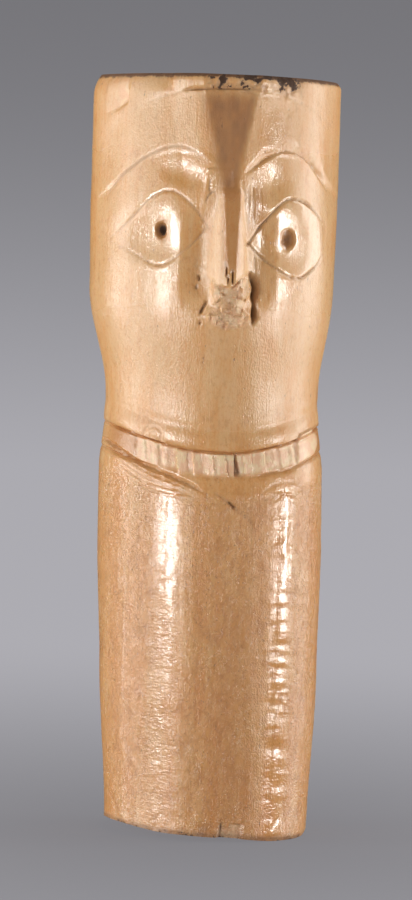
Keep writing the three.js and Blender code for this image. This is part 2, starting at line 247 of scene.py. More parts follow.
def line_through(points, step=0.07):
    """A smooth line through points given as (across, up), sampled every step."""
    points = np.array(points, float)
    guides = np.vstack([2 * points[0] - points[1], points, 2 * points[-1] - points[-2]])
    parts = []
    for a, b, c, d in zip(guides, guides[1:], guides[2:], guides[3:]):
        t = np.linspace(0, 1, int(np.linalg.norm(c - b) / step) + 2)[:-1, None]
        parts.append(0.5 * (2 * b + (c - a) * t + (2 * a - 5 * b + 4 * c - d) * t ** 2
                            + (3 * b - 3 * c + d - a) * t ** 3))
    return np.vstack(parts + [points[-1:]])


def beside(points, reach=2.0):
    """Which skin points lie near a line on the front, how far to its upper side, and where along it."""
    line = line_through(points)
    path = front_skin(*line.T)
    tangent = np.gradient(path, axis=0)
    tangent /= np.linalg.norm(tangent, axis=1)[:, None]
    step = 0.05
    across = front_skin(line[:, 0] + step, line[:, 1]) - front_skin(line[:, 0] - step, line[:, 1])
    up = front_skin(line[:, 0], line[:, 1] + step) - front_skin(line[:, 0], line[:, 1] - step)
    normal = np.cross(across, up)
    normal /= np.linalg.norm(normal, axis=1)[:, None]
    aside = np.cross(normal, tangent)
    low, high = path.min(0) - reach, path.max(0) + reach
    near = np.flatnonzero(in_front & np.all((skin > low) & (skin < high), axis=1))
    found = skin[near]
    square = (found ** 2).sum(1)[:, None] - 2 * found @ path.T + (path ** 2).sum(1)
    closest = square.argmin(1)
    offset = found - path[closest]
    gap = np.linalg.norm(offset, axis=1)
    upper = np.where((offset * aside[closest]).sum(1) < 0, -gap, gap)
    return near, upper, closest / (len(path) - 1)


def cut_groove(points, above, below, depth, dirt=0.6, waver=0.25, seed=1, start=0.25, end=0.25, matt=1.0):
    """Cuts a groove along a line, with its own slope on each side, and leaves it dirty and matt."""
    near, upper, along = beside(points, 1.5 + max(above, below))
    taper = np.minimum(1, np.minimum(start + 4 * along, end + 4 * (1 - along)))
    taper = taper * (1 + waver * bone_noise(skin[near], 1.1, seed))
    width = np.where(upper > 0, above, below) * np.minimum(taper, 1.1)
    share = np.clip(np.abs(upper) / width, 0, 1)
    relief[near] -= depth * taper * (1 - share) ** 1.15
    gloss[near] *= 1 - matt * hump(share, 1)
    bottom = np.clip(1 - np.abs(upper) / (0.7 * np.minimum(above, below) + 0.1), 0, 1)
    grime_and_painted_shade[near] = np.maximum(grime_and_painted_shade[near], dirt * bottom * np.minimum(taper, 1))


# The broad carving of the head: a raised crown band, the forehead falling away from a middle wedge,
# sockets under the brows, and the cheeks cut back beside the nose. Each eye and each roll under a brow
# is a flattened dome, tipped across by turn and upwards by lean, and pushed in or out by out.
CROWN_LEVEL = 98.3
BRIDGE_LEVEL = 86.9
HAIRLINE_HALF_WIDTH = 17.2
HAIRLINE_DROP = 9
WEDGE = {"middle": -0.2, "narrowest": 0.9, "at_bridge": 1.2, "widens": 2.4}
SOCKET_DEPTH = {"left": 0.14, "right": 0.24}
CHEEK_CUT = {"depth": 0.6, "middle": 4.0, "half_width": 2.7}
BAND_HEIGHT = 0.08
EYES = [
    {"x": -9.1, "z": 79.6, "half_width": 5.6, "half_height": 4.6, "turn": 0.08, "lean": 0.09, "out": -0.38},
    {"x": 8.2, "z": 78.9, "half_width": 5.4, "half_height": 4.8, "turn": 0.11, "lean": 0.08, "out": -0.42},
]
BROW_ROLLS = [
    {"x": -5.0, "z": 87.4, "half_width": 4.6, "half_height": 2.2, "turn": 0.1, "lean": 0.09, "out": -0.05},
    {"x": 5.6, "z": 85.9, "half_width": 3.2, "half_height": 3.2, "turn": -0.02, "lean": 0.05, "out": -0.26},
]
UNDER_LIDS = [
    {"x": -6.5, "z": 73.6, "half_width": 2.6, "half_height": 2.6},
    {"x": 8.3, "z": 72.8, "half_width": 3.8, "half_height": 1.8},
]


def hairline(across):
    share = np.minimum(np.abs(across) / HAIRLINE_HALF_WIDTH, 1)
    return CROWN_LEVEL - HAIRLINE_DROP * (1 - np.sqrt(1 - share ** 2))


wedge = WEDGE["at_bridge"] + WEDGE["widens"] * (z - BRIDGE_LEVEL) / (CROWN_LEVEL - BRIDGE_LEVEL)
wedge = np.maximum(wedge, WEDGE["narrowest"])
from_wedge = np.abs(x - WEDGE["middle"]) - wedge
wedge_edge = front_skin(np.where(x < WEDGE["middle"], -wedge, wedge) + WEDGE["middle"], z)[:, 1]
flat_wedge = np.where(from_wedge < 0, y - wedge_edge, 0) * fade(84, 89, z)
forehead = flat_wedge - 0.13 * np.clip(from_wedge, 0, 5) * fade(80, 90, z)
under_brow = 90 - 0.075 * (np.abs(x) - 7.4) ** 2 - z
socket = -np.where(x < 0, SOCKET_DEPTH["left"], SOCKET_DEPTH["right"]) * fade(-0.6, 0.4, under_brow)
socket = socket * (1 - fade(3, 11, under_brow)) * fade(1.2, 4.6, np.abs(x))
beside_nose = -CHEEK_CUT["depth"] * hump(np.abs(x) - CHEEK_CUT["middle"], CHEEK_CUT["half_width"])
beside_nose = beside_nose * fade(68, 74, z) * (1 - fade(80, 84, z))
domes = 0
for dome in EYES + BROW_ROLLS:
    across, up = x - dome["x"], z - dome["z"]
    out = np.hypot(across / dome["half_width"], up / dome["half_height"])
    domes = domes + (dome["out"] + dome["turn"] * across + dome["lean"] * up) * hump(out, 1.15)
band = BAND_HEIGHT * fade(-0.8, 1.0, z - hairline(x))
relief += front * (band + (forehead + socket + beside_nose + domes) * fade(62, 68, z))

# Handling has polished what stands out, the eyes and the rolls of the brows most, and left the neck
# and the forehead duller.
gloss -= 0.35 * fade(52, 56, z) * (1 - fade(66, 72, z)) + 0.25 * fade(89, 92, z)
gloss -= 0.4 * hump(x + 2.9, 1.6) * fade(71, 74, z) * (1 - fade(84, 87, z))
for dome in EYES + BROW_ROLLS:
    reach = np.hypot((x - dome["x"]) / dome["half_width"], (z - dome["z"]) / (1.25 * dome["half_height"]))
    gloss = np.maximum(gloss, fade(1.15, 0.8, reach))
for spot in UNDER_LIDS:
    spot_rows = fade(0, 0.3, hump(z - spot["z"], spot["half_height"]))
    gloss = np.maximum(gloss, hump(x - spot["x"], spot["half_width"]) * spot_rows)

# The hollow that a long bone has down its front, deepest low on the body.
FRONT_HOLLOW = {"x": -0.2, "half_width": 4.5, "depth": 0.35}
front_hollow = hump(x - FRONT_HOLLOW["x"], FRONT_HOLLOW["half_width"])
relief -= front * FRONT_HOLLOW["depth"] * front_hollow * (1 - fade(30, 46, z)) * fade(-4, 6, z)

# The lines of the face: one hairline, two brows with a broad bevel above, and the lids of both eyes.
# Each is a knife-cut groove, so its depth and width waver a little, and old dirt sits in its bottom.
HAIR_ACROSS = [-16, -14, -10.5, -6, 0, 6, 10.5, 14, 16]
BROWS = [
    [(-15.7, 84.2), (-13.8, 87.0), (-10.6, 89.5), (-7.0, 90.5), (-3.2, 88.9)],
    [(1.9, 87.2), (5.2, 89.4), (8.2, 90.3), (11.3, 89.0), (14.2, 85.6)],
]
UPPER_LIDS = [
    [(-15.2, 78.3), (-12.8, 80.9), (-10.2, 83.9), (-7.8, 84.7), (-5.2, 83.0), (-3.0, 80.1)],
    [(2.2, 77.9), (4.9, 81.3), (7.4, 83.8), (9.8, 84.0), (12.2, 82.4), (13.4, 80.2)],
]
LOWER_LIDS = [
    [(-15.2, 78.3), (-12.4, 76.7), (-9.0, 75.1), (-5.9, 77.1), (-3.0, 80.2)],
    [(2.2, 78.3), (5.2, 75.9), (8.9, 73.9), (11.8, 75.4), (13.4, 77.8)],
]
hair_points = [(across, float(hairline(across))) for across in HAIR_ACROSS]
cut_groove(hair_points, above=0.2, below=0.3, depth=0.05, dirt=0.16, waver=0.7, seed=2)
cut_groove(BROWS[0], above=0.3, below=0.4, depth=0.08, dirt=0.5, seed=3)
cut_groove(BROWS[1], above=1.5, below=0.16, depth=0.34, dirt=0.35, seed=3, matt=0.2)
for lids, dirt in ((UPPER_LIDS, 0.55), (LOWER_LIDS, 0.38)):
    cut_groove(lids[0], above=0.2, below=0.2, depth=0.14, dirt=dirt * 0.8, seed=4, start=0.1, end=0.6)
    cut_groove(lids[1], above=0.26, below=0.22, depth=0.26, dirt=dirt * 1.3, seed=5, start=0.9, end=0.0)

# The nose: a tapering ridge with a flat top, a soft left side and a crisp right edge.
# Its tip is broken off, and two narrow slits run up from the break.
NOSE_SECTIONS = [
    {"z": 72.0, "ridge": 0.6, "left": 3.3, "right": 2.85, "out": 1.85},
    {"z": 75.6, "ridge": 0.6, "left": 3.1, "right": 2.65, "out": 1.7},
    {"z": 79.0, "ridge": 0.75, "left": 2.6, "right": 2.25, "out": 1.2},
    {"z": 84.6, "ridge": 1.15, "left": 1.95, "right": 1.55, "out": 0.55},
    {"z": 85.4, "ridge": 0.9, "left": 1.8, "right": 1.4, "out": 0.2},
    {"z": 87.6, "ridge": 0.9, "left": 1.7, "right": 1.3, "out": -0.2},
]
NOSE_BREAK = [(-3.0, 74.2), (-2.2, 73.5), (-1.5, 72.7), (-0.1, 72.4), (0.5, 72.9), (1.4, 73.8), (2.7, 74.1)]
NOSE_SLITS = [
    [(-0.75, 75.7), (-0.6, 74.4), (-0.35, 73.0)],
    [(0.1, 74.8), (0.2, 73.8), (0.25, 72.8)],
]
MOUTH_SECTIONS = [
    {"z": 66.7, "ridge": 0.3, "left": 0.8, "right": 0.8, "out": 0.0},
    {"z": 67.6, "ridge": 1.0, "left": 2.6, "right": 2.6, "out": 0.6},
    {"z": 68.6, "ridge": 1.7, "left": 3.3, "right": 3.3, "out": 0.95},
    {"z": 69.8, "ridge": 0.9, "left": 2.3, "right": 2.3, "out": 0.75},
    {"z": 72.0, "ridge": 1.7, "left": 2.6, "right": 3.4, "out": 1.15},
    {"z": 73.6, "ridge": 1.3, "left": 2.5, "right": 2.9, "out": 1.0},
    {"z": 75.0, "ridge": 0.6, "left": 2.0, "right": 2.0, "out": 0.0},
]


def ridge_height(sections):
    """How far a ridge stands out from the skin: a flat top with straight sides down to its feet."""
    at = [section["z"] for section in sections]
    size = {key: np.interp(z, at, [s[key] for s in sections]) for key in ("ridge", "left", "right", "out")}
    middle = front_skin(0 * z, z)[:, 1] - size["out"]
    foot = np.where(x < 0, size["left"], size["right"])
    foot_y = front_skin(np.where(x < 0, -foot, foot), z)[:, 1] + 0.1
    share = np.clip((np.abs(x) - size["ridge"]) / (foot - size["ridge"]), 0, 2)
    height = y - (middle + (foot_y - middle) * share)
    inside = in_front & (z > at[0]) & (z < at[-1]) & (np.abs(x) < foot + np.where(x < 0, 1.8, 0.6))
    height = np.where(x < 0, 0.5 * (height + np.hypot(height, 0.25)), np.maximum(height, 0))
    return np.where(inside, height, 0)


broken_at = np.interp(x, *np.array(NOSE_BREAK).T) + 0.15 * bone_noise(skin, 0.5, 11)
whole = fade(-0.35, 0.15, z - broken_at)
nose = ridge_height(NOSE_SECTIONS) * whole
mouth = ridge_height(MOUTH_SECTIONS)
crumbs = 0.42 * chipped_facets(x, z, 1.3, 21) + 0.16 * chipped_facets(x, z, 0.5, 31)
on_mouth = fade(0.05, 0.4, mouth) * (1 - whole)
mouth = mouth + crumbs * on_mouth
beak = np.maximum(nose, mouth)
fresh = np.maximum(fresh, (0.42 + 0.4 * bone_noise(skin, 1.0, 22)) * on_mouth)
rough = np.maximum(rough, 0.8 * on_mouth)
# Painted shade: the flat top of the nose ridge is darkened brown, carrying the forehead wedge's shade down to
# the break.
stain_and_painted_shade += 0.8 * (1 - fade(0.7, 1.5, np.abs(x + 0.05))) * fade(73, 76, z) * (1 - fade(84, 88, z)) * front
stain_and_painted_shade += 0.7 * hump(x - 0.1, 0.8) * on_mouth
# Painted shade: the forehead's middle wedge is darkened brown and mottled, for the shade of the flat that
# faces straight forward.
on_wedge = (1 - fade(-0.9, np.where(x < 0, 1.6, 0.4), from_wedge)) * fade(83, 86, z)
on_wedge = on_wedge * (1 - fade(96, 98.5, z)) * front
stain_and_painted_shade += 1.0 * on_wedge
grime_and_painted_shade = np.maximum(grime_and_painted_shade, (0.36 + 0.24 * bone_noise(skin, (0.5, 0.5, 1.1), 23)) * on_wedge)
# Brown on the side wall of the right socket beside the bridge: partly the bone's own stain, partly painted
# shade of the wall turned away from the lamps.
stain_and_painted_shade += 0.7 * hump(x - 3.6, 1.9) * hump(z - 83, 5.5) * front
for slit in NOSE_SLITS:
    cut_groove(slit, above=0.14, below=0.14, depth=0.6, dirt=1.0, seed=5, start=0.5, end=0.5)

# The holes and hurts of the face: dark hollows beside the mouth, pits, a forked crack by the bridge,
# and the upright scrapes that cut the cheek back beside the nose.
MOUTH_RECESSES = [
    {"path": [(2.8, 74.3), (3.7, 72.7), (3.5, 71.0), (3.6, 69.2), (3.3, 68.0)], "half": 0.72, "depth": 1.25},
    {"path": [(-2.9, 70.5), (-3.3, 69.8), (-3.7, 69.0)], "half": 0.35, "depth": 0.7},
    {"path": [(-3.7, 68.0), (-3.6, 67.6)], "half": 0.25, "depth": 0.4},
    {"path": [(-4.1, 73.9), (-3.9, 73.3)], "half": 0.22, "depth": 0.4},
    {"path": [(-4.3, 72.7), (-4.25, 72.1)], "half": 0.15, "depth": 0.3},
]
CRACK_BY_BRIDGE = [
    [(-2.95, 86.3), (-3.0, 85.2), (-2.7, 84.4)],
    [(-2.4, 84.7), (-3.0, 84.3), (-3.4, 83.4)],
]
# The hollows beside the mouth are cut deep and their bottoms filled with dark brown: dirt, and painted shade
# deepening them.
for hurt in MOUTH_RECESSES:
    half = hurt["half"]
    cut_groove(hurt["path"], half, half, hurt["depth"], dirt=1.0, seed=6, start=0.45, end=0.45)
for crack in CRACK_BY_BRIDGE:
    cut_groove(crack, 0.1, 0.1, 0.16, dirt=0.9, waver=0.8, seed=7, start=0.4, end=0.4)
SCRAPES = [
    {"x": 2.2, "from": 85.8, "to": 79.6, "width": 0.24, "depth": 0.07, "dirt": 0.28},
    {"x": 2.8, "from": 86.0, "to": 80.3, "width": 0.3, "depth": 0.12, "dirt": 0.12},
    {"x": 3.35, "from": 86.3, "to": 81.2, "width": 0.2, "depth": 0.05, "dirt": 0.22},
    {"x": 3.95, "from": 86.0, "to": 82.0, "width": 0.26, "depth": 0.08, "dirt": 0.06},
    {"x": 4.6, "from": 85.6, "to": 82.4, "width": 0.2, "depth": 0.03, "dirt": 0.1},
    {"x": 3.4, "from": 77.0, "to": 72.8, "width": 0.28, "depth": 0.14, "dirt": 0.15},
]
for i, scrape in enumerate(SCRAPES):
    lean = 0.1 if scrape["x"] > 0 else -0.15
    cut_groove(
        [(scrape["x"], scrape["from"]), (scrape["x"] + lean, (scrape["from"] + scrape["to"]) / 2),
         (scrape["x"] + 2 * lean, scrape["to"])],
        scrape["width"], scrape["width"], scrape["depth"],
        dirt=scrape["dirt"], seed=110 + i, start=0.4, end=0.1, matt=0.3,
    )

# The pupils: each is a small drilled hole with a worn rim, near black on the left and brown on the right.
PUPILS = [
    {"x": -9.0, "z": 79.6, "rim": 1.1, "core": 0.62, "depth": 0.8, "dark": 1.0},
    {"x": 8.1, "z": 78.9, "rim": 1.05, "core": 0.82, "depth": 0.5, "dark": 0.2},
]
for pupil in PUPILS:
    middle = front_skin(np.array([pupil["x"]]), np.array([pupil["z"]]))[0]
    distance = np.linalg.norm((skin - middle) * (1, 1, 0.8), axis=1)
    distance = distance + 0.12 * bone_noise(skin, 0.5, 41)
    relief -= pupil["depth"] * np.maximum(1 - distance / (pupil["core"] + 0.3), 0) * 1.5
    relief -= 0.06 * fade(pupil["rim"] + 0.3, pupil["core"], distance)
    char = np.maximum(char, pupil["dark"] * fade(pupil["core"] + 0.15, pupil["core"] - 0.25, distance))
    stain_and_painted_shade += 1.0 * fade(pupil["rim"] + 0.35, pupil["core"], distance)
    in_core = fade(pupil["core"] + 0.3, pupil["core"] - 0.1, distance)
    grime_and_painted_shade = np.maximum(grime_and_painted_shade, (0.4 + 0.6 * pupil["dark"]) * in_core)

# The neck: a necklace-like collar left standing between two cuts that sag towards the front.
# Most of its face has flaked off to pale, freshly broken bone with upright tool marks, and it is
# stepped a little right of the middle; the left end keeps the old polished surface.
NECK_RINGS = [
    (45.0, 0.1), (47.0, 0.02), (48.3, -0.1), (49.2, -0.1), (50.75, -0.25),
    (51.5, 0.1), (52.6, 0.14), (53.9, -0.08), (54.7, 0.08), (55.6, 0.04), (57.6, 0),
]
UPPER_CUT = {"level": 51.0, "above": 0.16, "below": 0.3, "depth": 0.5}
LOWER_CUT = {"level": 47.7, "above": 0.3, "below": 0.5, "depth": 0.45}
COLLAR_STEP_X = 1.65
COLLAR_HOLLOW = {"from": 1.65, "to": 2.75, "depth": 0.5}
FRESH_COLLAR = {"left": -10.9, "right": 10.3, "facet_right": 13.4}
MARK_COUNT = 40
neck_share = 0.4 + 0.6 * front
ring_levels, ring_sizes = np.array(NECK_RINGS).T
for offset in (-0.4, -0.2, 0, 0.2, 0.4):
    relief += np.interp(level + offset, ring_levels, ring_sizes, left=0, right=0) * neck_share / 5
collar_waver = 0.12 * bone_noise(np.stack([around, 0 * x, 0 * x], -1), 2.2, 51)
lower_strength = 0.12 + 0.7 * fade(-7, -11, x) + 0.45 * fade(3.5, 6, x)
for cut, strength in ((UPPER_CUT, 1.0 + 0 * x), (LOWER_CUT, lower_strength)):
    upper = level + collar_waver - cut["level"]
    width = np.where(upper > 0, cut["above"], cut["below"])
    share = np.clip(np.abs(upper) / width, 0, 1)
    relief -= cut["depth"] * strength * neck_share * (1 - share)
    # Along both cuts the bone is stained rust-brown with a little dirt; under the overhanging upper edge this
    # is painted shade as well.
    stain_and_painted_shade += 0.9 * strength * hump(upper, 0.4) * front
    grime_and_painted_shade = np.maximum(grime_and_painted_shade, 0.3 * strength * hump(upper, 0.2))

collar_top = 50.75 + 0.95 * fade(10.2, 10.4, x)
on_collar = fade(47.6, 48.5, level + 0.4 * collar_waver)
on_collar = on_collar * (1 - fade(collar_top - 0.15, collar_top + 0.15, level)) * front
in_fresh = fade(FRESH_COLLAR["left"] - 0.15, FRESH_COLLAR["left"] + 0.15, x)
facet_edge = FRESH_COLLAR["facet_right"] - 0.35 * (level - 49.6) ** 2
in_fresh = in_fresh * (1 - fade(facet_edge - 0.2, facet_edge + 0.3, x))
on_facet = fade(FRESH_COLLAR["right"] - 0.1, FRESH_COLLAR["right"] + 0.1, x)
marks_at = np.cumsum(np.random.default_rng(5).uniform(0.5, 1.7, MARK_COUNT)) - 16
marks_tilt = np.random.default_rng(6).uniform(-0.2, 0.2, MARK_COUNT + 1)
mark = np.searchsorted(marks_at, x + 0.12 * (z - 49))
mark_middles = np.concatenate([[-17], (marks_at[1:] + marks_at[:-1]) / 2, [20]])
tool_marks = marks_tilt[mark] * (x - mark_middles[mark])
tool_marks += 0.6 * marks_tilt[np.minimum(mark + 1, MARK_COUNT)]
tool_marks += 0.03 * bone_noise(skin, (0.3, 9, 2.5), 52)
relief += on_collar * in_fresh * (1 - on_facet) * (tool_marks - 0.12)
facet_share = on_collar * in_fresh * on_facet
relief += facet_share * 0.12 + facet_share * fade(50.4, 50.9, level) * 0.25
relief += on_collar * (1 - in_fresh) * 0.1
relief += on_collar * 0.28 * fade(-2.5, COLLAR_STEP_X, x) * (x < COLLAR_STEP_X)
in_hollow = fade(COLLAR_HOLLOW["from"] - 0.05, COLLAR_HOLLOW["from"] + 0.05, x)
hollow_to = np.interp(level, [47.9, 50.6], [COLLAR_HOLLOW["to"], COLLAR_HOLLOW["from"] + 0.35])
in_hollow = in_hollow * (1 - fade(hollow_to - 0.35, hollow_to, x))
relief -= on_collar * in_hollow * COLLAR_HOLLOW["depth"]
fresh = np.maximum(fresh, on_collar * in_fresh)
rough = np.maximum(rough, 0.45 * on_collar * in_fresh * (1 - 0.9 * on_facet))
# Painted shade: the hollow right of the collar's step is darkened brown.
grime_and_painted_shade = np.maximum(grime_and_painted_shade, 0.7 * on_collar * in_hollow)
stain_and_painted_shade += 0.8 * on_collar * (1 - in_fresh)
# Painted shade: a dark patch for the shaded dent in the right side above the collar.
stain_and_painted_shade += 1.2 * hump(level - 55.2, 2.6) * fade(12.9, 13.6, x) * front

# Knife slips and breaks round the collar: the second cut on the left, the long scratches that run on
# from it, the flake above it, the cross scratches on the right and the branching crack below.
SECOND_CUT = [(-14.6, 52.0), (-11.1, 49.5), (-7.6, 48.1), (-4.3, 46.7), (-2.2, 45.7)]
NECK_SCRATCHES = [
    [(-14.0 + 0.3 * i, 50.8 - 0.8 * i), (-9.5, 48.1 - 0.7 * i), (-5.5, 46.6 - 0.5 * i),
     (-2.2 + 0.8 * i, 45.3 - 0.25 * i)]
    for i in range(4)
]
CROSS_SCRATCHES = [
    [(5.6, 45.0), (7.2, 45.6), (8.7, 46.6)],
    [(5.9, 44.3), (7.6, 45.3), (8.4, 46.1)],
    [(5.0, 45.6), (6.8, 46.9), (8.2, 47.3)],
]
BODY_CRACK = [(-0.9, 45.8), (0.65, 44.8), (2.2, 43.6), (3.95, 42.2), (4.5, 40.3)]
FLAKE_EDGE = [(-10.2, 52.6), (-9.6, 53.8), (-8.4, 54.1), (-7.7, 53.3), (-7.8, 52.2), (-7.2, 51.9)]
cut_groove(SECOND_CUT, above=0.55, below=0.35, depth=0.45, dirt=0.5, seed=61, start=0.6)
for i, (scratch, depth) in enumerate(zip(NECK_SCRATCHES, (0.16, 0.07, 0.12, 0.06))):
    cut_groove(scratch, 0.26, 0.22, depth, dirt=0.15, waver=0.3, seed=62 + i, start=0.3, end=0.0)
for i, scratch in enumerate(CROSS_SCRATCHES):
    cut_groove(scratch, 0.2, 0.2, 0.07, dirt=0.12, seed=70 + i)
cut_groove(BODY_CRACK, 0.24, 0.24, 0.22, dirt=0.3, waver=0.15, seed=75, start=0.5, end=0.0)
cut_groove(BODY_CRACK[1:3], 0.26, 0.26, 0.25, dirt=1.0, waver=0.2, seed=77, start=0.1, end=0.1)
cut_groove(FLAKE_EDGE, 0.16, 0.6, 0.12, dirt=0.12, waver=0.8, seed=76, start=0.2, end=0.2)

# The body: scraped into long narrow facets, chattered across by the blade down its right side,
# grained on the left, with a few long scratches. It is worn smooth between them.
CHATTER = {"from": 5.5, "to": 13.0, "low": 4, "high": 47, "depth": 0.11, "half_width": 0.26}
GRAINED = {"x": -7.4, "half_width": 3.4, "low": 2, "high": 46}
LONG_SCRATCHES = [
    [(-11.0, 17.0), (-10.4, 14.6), (-9.9, 13.2)],
    [(-11.3, 12.9), (-10.0, 10.9), (-8.5, 8.8)],
    [(-10.9, 9.1), (-9.9, 7.3), (-9.0, 5.9)],
    [(-10.6, 6.4), (-9.8, 4.4), (-9.2, 2.6)],
    [(-10.1, 6.3), (-9.4, 4.8), (-8.9, 3.4)],
    [(-12.4, 5.4), (-11.9, 3.6), (-11.5, 1.9)],
    [(7.6, 15.4), (8.6, 18.6), (9.4, 21.4)],
    [(6.8, 17.6), (8.0, 20.2), (8.6, 21.6)],
    [(8.0, 1.6), (9.2, 3.0), (10.2, 4.2)],
]


def unrolled(tilt):
    """The skin laid flat, across and up, for marks that rise by tilt across the bone."""
    return np.stack([around, 0 * x, z + tilt * x], -1)


on_body = 1 - fade(44, 47, level)
relief -= 0.15 * hump(x + 6.9, 4.6) * on_body * front
scrape_place = unrolled(0)
scraping = 0.045 * bone_noise(scrape_place, (1.3, 1, 38), 81)
scraping += 0.02 * bone_noise(scrape_place, (0.55, 1, 14), 82)
relief += scraping * (0.35 + 0.65 * on_body) * fade(0, 3, z) * (1 - hump(x, 3) * 0.5)
chatter = fade(CHATTER["from"] - 1.5, CHATTER["from"] + 2, x)
chatter = chatter * (1 - fade(CHATTER["to"], CHATTER["to"] + 2, x))
chatter = chatter * fade(CHATTER["low"] - 3, CHATTER["low"], z)
chatter = chatter * (1 - fade(CHATTER["high"] - 3, CHATTER["high"], level))
chatter_at = np.cumsum(np.random.default_rng(7).uniform(0.5, 2.6, 34)) + CHATTER["low"] - 2
chatter_z = z + 0.1 * x + 0.25 * bone_noise(scrape_place, (3, 1, 3), 83)
from_chatter = np.abs(chatter_z[:, None] - chatter_at).min(1)
relief -= CHATTER["depth"] * np.maximum(1 - from_chatter / CHATTER["half_width"], 0) * chatter * front
relief += 0.04 * bone_noise(unrolled(0.1), (4.5, 1, 0.9), 84) * chatter * front
grained = hump(x - GRAINED["x"], GRAINED["half_width"] + 1.8) * front
grained = grained * fade(GRAINED["low"] - 4, GRAINED["low"], z)
grained = grained * (1 - fade(GRAINED["high"] - 3, GRAINED["high"] + 2, z))
ripples = bone_noise(unrolled(-0.08), (3.5, 1, 1.9), 85)
ripples += 0.6 * bone_noise(unrolled(-0.08), (2.0, 1, 0.9), 86)
relief += 0.03 * ripples * grained * on_body
bent = skin + 0.5 * np.stack([bone_noise(skin, 1.6, 71 + i) for i in range(3)], -1)
leathery = bone_noise(bent, (0.8, 0.8, 0.95), 87) + 0.6 * bone_noise(bent, (0.45, 0.45, 0.5), 88)
creases = np.maximum(1 - np.abs(bone_noise(bent, (1.5, 1.5, 1.2), 90)) / 0.2, 0)
quiet = np.maximum(hump(x - 8.4, 2.6), 0.7 * hump(x + 6.8, 3.2)) * on_body
leather_share = on_body * front * (0.7 + 0.4 * bone_noise(skin, (4, 4, 9), 89)) * (1 - 0.8 * quiet)
relief += (0.03 * leathery - 0.05 * creases) * leather_share
ribbed = np.maximum(grained, 0.4 * chatter) * on_body
rough = np.maximum(rough, 0.72 * on_body) * (1 - 0.85 * quiet)
rough = np.maximum(rough, 0.55 * hump(x - 6.8, 4.5) * hump(z - 92.5, 6.5))
rough = np.maximum(rough, 0.4 * on_wedge)
# Brown over the right forehead: partly the bone's own tone, partly painted shade that dims the light it gets
# from the right lamps.
stain_and_painted_shade += 0.35 * hump(x - 6.0, 4.8) * hump(z - 93.0, 7.0) * front
gloss = np.maximum(gloss * (1 - on_wedge), 0.8 * hump(x - 5.6, 3.6) * hump(z - 92.0, 6.5))
gloss = np.maximum(gloss, np.maximum(hump(x - 8.4, 3.2), hump(x + 6.6, 3.2) * fade(-28, 20, z)) * on_body)
stain_and_painted_shade += 0.3 * creases * leather_share
stain_and_painted_shade += 0.4 * hump(x - 2.2, 4.5) * (1 - fade(26, 38, z)) * front
for i, scratch in enumerate(LONG_SCRATCHES):
    cut_groove(scratch, 0.22, 0.2, 0.1, dirt=0.04, seed=120 + i, matt=0.0)

# The whole skin is a little uneven, as scraped bone is.
relief += 0.03 * bone_noise(skin, 3.1, 91) + 0.012 * bone_noise(skin, (0.9, 0.9, 1.6), 92)

# The two ends: sawn, then worn round. The crown's edge is crumbled and blackened, with a thin ledge
# over the middle and a flake off its left corner; a chip is out of the base's front.
CROWN_BEVEL = 0.9
BASE_BEVEL = 0.35
CROWN_CHIP = {"right": -13.7, "left": -16.3, "bottom": 96.2, "slant": 0.75, "depth": 0.4}
BASE_CHIP = {"x": 2.6, "half_width": 1.3, "top": 2.6, "depth": 0.5}
LEDGE = [(-6.6, 97.75), (-4.2, 97.9), (-1.5, 98.05), (1.2, 98.1), (3.4, 98.15)]
CRUMBLED = [{"x": -2.0, "half": 2.2}, {"x": 7.6, "half": 2.6}, {"x": 3.0, "half": 4.0}]
crown_run = (HEIGHT - z) / np.where(x < -8, 2.6, 1.0)
relief -= np.where(x < -8, 1, 0.6) * CROWN_BEVEL * np.maximum(1 - crown_run, 0) ** 2
relief -= BASE_BEVEL * np.maximum(1 - z / 0.6, 0)
chip_bottom = CROWN_CHIP["bottom"] - CROWN_CHIP["slant"] * (CROWN_CHIP["right"] - x)
in_crown_chip = fade(0.12, -0.12, x - CROWN_CHIP["right"])
in_crown_chip = in_crown_chip * fade(CROWN_CHIP["left"], CROWN_CHIP["right"] - 0.4, x)
in_crown_chip = in_crown_chip * fade(-0.3, 0.4, z - chip_bottom) * (1 - 0.7 * fade(97.2, 99.0, z)) * front
relief -= CROWN_CHIP["depth"] * in_crown_chip
fresh = np.maximum(fresh, 0.85 * in_crown_chip)
chip_top = BASE_CHIP["top"] + 0.5 * bone_noise(scrape_place, (0.7, 1, 1), 93)
from_base_chip = np.abs(x - BASE_CHIP["x"] - 0.15 * (z - 1))
in_base_chip = fade(BASE_CHIP["half_width"] + 0.5, BASE_CHIP["half_width"], from_base_chip)
in_base_chip = in_base_chip * fade(chip_top, chip_top - 0.6, z) * front
relief -= (BASE_CHIP["depth"] + 0.1 * chipped_facets(x, z, 0.8, 94)) * in_base_chip
fresh = np.maximum(fresh, 0.55 * in_base_chip)
stain_and_painted_shade += 0.6 * hump(x + 0.9, 1.6) * (1 - fade(1.5, 2.6, level)) * front
grime_and_painted_shade = np.maximum(grime_and_painted_shade, 0.7 * in_base_chip * hump(x - 1.4, 0.4))
rough = np.maximum(rough, in_base_chip)
cut_groove(LEDGE, above=0.5, below=0.16, depth=0.3, dirt=1.0, waver=0.5, seed=95, start=0.3, end=0.3)
crumbled = 0
for place in CRUMBLED:
    crumbled = np.maximum(crumbled, hump(x - place["x"], place["half"] + 0.8))
broken_edge = fade(96.6, 98.6, z) * front * crumbled
bits = bone_noise(bent, (1.1, 1.1, 0.8), 96) + 0.6 * bone_noise(bent, (0.4, 0.4, 0.35), 97)
relief -= 0.35 * broken_edge * (0.5 + 0.5 * chipped_facets(x, z, 0.7, 63)) * fade(-0.5, 0.5, bits)
char = np.maximum(char, broken_edge * fade(0.0, 0.9, bits + 0.8 * fade(98.4, 99.8, z)))
